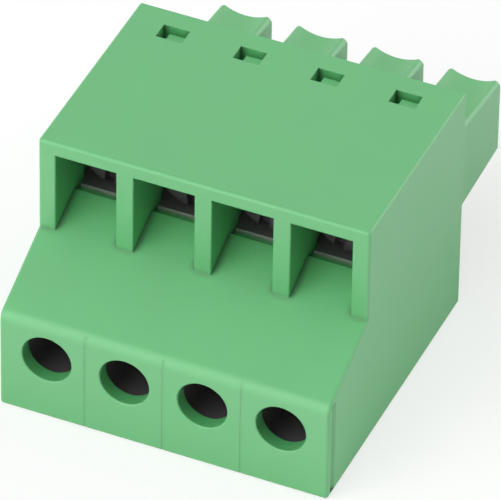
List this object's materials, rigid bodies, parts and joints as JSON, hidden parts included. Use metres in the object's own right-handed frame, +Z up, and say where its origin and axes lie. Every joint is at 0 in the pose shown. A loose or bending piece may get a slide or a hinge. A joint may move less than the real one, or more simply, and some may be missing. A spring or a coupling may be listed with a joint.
{
  "type": "pluggable terminal block",
  "caption": "Pluggable wire-to-board terminal block with screw clamps and round wire entries on one face, and ribbed socket towers for a pin header on the other.",
  "frame": {"origin": "bottom centre of the whole block: half way along its length and width, on the plane it rests on", "axes": "+X along the row of poles, +Y from the wire face to the mating end, +Z up"},
  "size_m": [0.016, 0.022, 0.0122],
  "materials": {
    "green_plastic": "moulded, satin",
    "plug_plastic": "moulded, satin",
    "cage_steel": "blackened sheet",
    "screw_steel": "turned and blackened",
    "nut_brass": "machined",
    "shoe_steel": "plated",
    "contact_metal": "tin plated strip"
  },
  "bodies": {
    "block": {"housing": "green_plastic", "plug_body": "plug_plastic", "contact_1": "contact_metal", "contact_2": "contact_metal", "contact_3": "contact_metal", "contact_4": "contact_metal", "clamp_cage_1": "cage_steel", "clamp_cage_2": "cage_steel", "clamp_cage_3": "cage_steel", "clamp_cage_4": "cage_steel"},
    "screw_1": {"clamp_screw_1": "screw_steel"},
    "nut_1": {"wedge_nut_1": "nut_brass"},
    "shoe_1": {"pressure_shoe_1": "shoe_steel"},
    "screw_2": {"clamp_screw_2": "screw_steel"},
    "nut_2": {"wedge_nut_2": "nut_brass"},
    "shoe_2": {"pressure_shoe_2": "shoe_steel"},
    "screw_3": {"clamp_screw_3": "screw_steel"},
    "nut_3": {"wedge_nut_3": "nut_brass"},
    "shoe_3": {"pressure_shoe_3": "shoe_steel"},
    "screw_4": {"clamp_screw_4": "screw_steel"},
    "nut_4": {"wedge_nut_4": "nut_brass"},
    "shoe_4": {"pressure_shoe_4": "shoe_steel"}
  },
  "joints": [
    {"name": "screw_turn_1", "type": "hinge", "parent": "block", "child": "screw_1", "pos_m": [-0.00571, -0.0035, 0.00967], "axis": [0, 1, 0], "range_deg": [0, 1620]},
    {"name": "nut_slide_1", "type": "slide", "parent": "block", "child": "nut_1", "axis": [0, -1, 0], "range_m": [0, 0.0018]},
    {"name": "shoe_slide_1", "type": "slide", "parent": "block", "child": "shoe_1", "axis": [0, 0, -1], "range_m": [0, 0.0018]},
    {"name": "screw_turn_2", "type": "hinge", "parent": "block", "child": "screw_2", "pos_m": [-0.00191, -0.0035, 0.00967], "axis": [0, 1, 0], "range_deg": [0, 1620]},
    {"name": "nut_slide_2", "type": "slide", "parent": "block", "child": "nut_2", "axis": [0, -1, 0], "range_m": [0, 0.0018]},
    {"name": "shoe_slide_2", "type": "slide", "parent": "block", "child": "shoe_2", "axis": [0, 0, -1], "range_m": [0, 0.0018]},
    {"name": "screw_turn_3", "type": "hinge", "parent": "block", "child": "screw_3", "pos_m": [0.00191, -0.0035, 0.00967], "axis": [0, 1, 0], "range_deg": [0, 1620]},
    {"name": "nut_slide_3", "type": "slide", "parent": "block", "child": "nut_3", "axis": [0, -1, 0], "range_m": [0, 0.0018]},
    {"name": "shoe_slide_3", "type": "slide", "parent": "block", "child": "shoe_3", "axis": [0, 0, -1], "range_m": [0, 0.0018]},
    {"name": "screw_turn_4", "type": "hinge", "parent": "block", "child": "screw_4", "pos_m": [0.00571, -0.0035, 0.00967], "axis": [0, 1, 0], "range_deg": [0, 1620]},
    {"name": "nut_slide_4", "type": "slide", "parent": "block", "child": "nut_4", "axis": [0, -1, 0], "range_m": [0, 0.0018]},
    {"name": "shoe_slide_4", "type": "slide", "parent": "block", "child": "shoe_4", "axis": [0, 0, -1], "range_m": [0, 0.0018]}
  ],
  "couplings": [
    {"joint": "screw_turn_1", "follows": "nut_slide_1", "rad_per_m": 15708},
    {"joint": "shoe_slide_1", "follows": "nut_slide_1", "ratio": 1},
    {"joint": "screw_turn_2", "follows": "nut_slide_2", "rad_per_m": 15708},
    {"joint": "shoe_slide_2", "follows": "nut_slide_2", "ratio": 1},
    {"joint": "screw_turn_3", "follows": "nut_slide_3", "rad_per_m": 15708},
    {"joint": "shoe_slide_3", "follows": "nut_slide_3", "ratio": 1},
    {"joint": "screw_turn_4", "follows": "nut_slide_4", "rad_per_m": 15708},
    {"joint": "shoe_slide_4", "follows": "nut_slide_4", "ratio": 1}
  ]
}
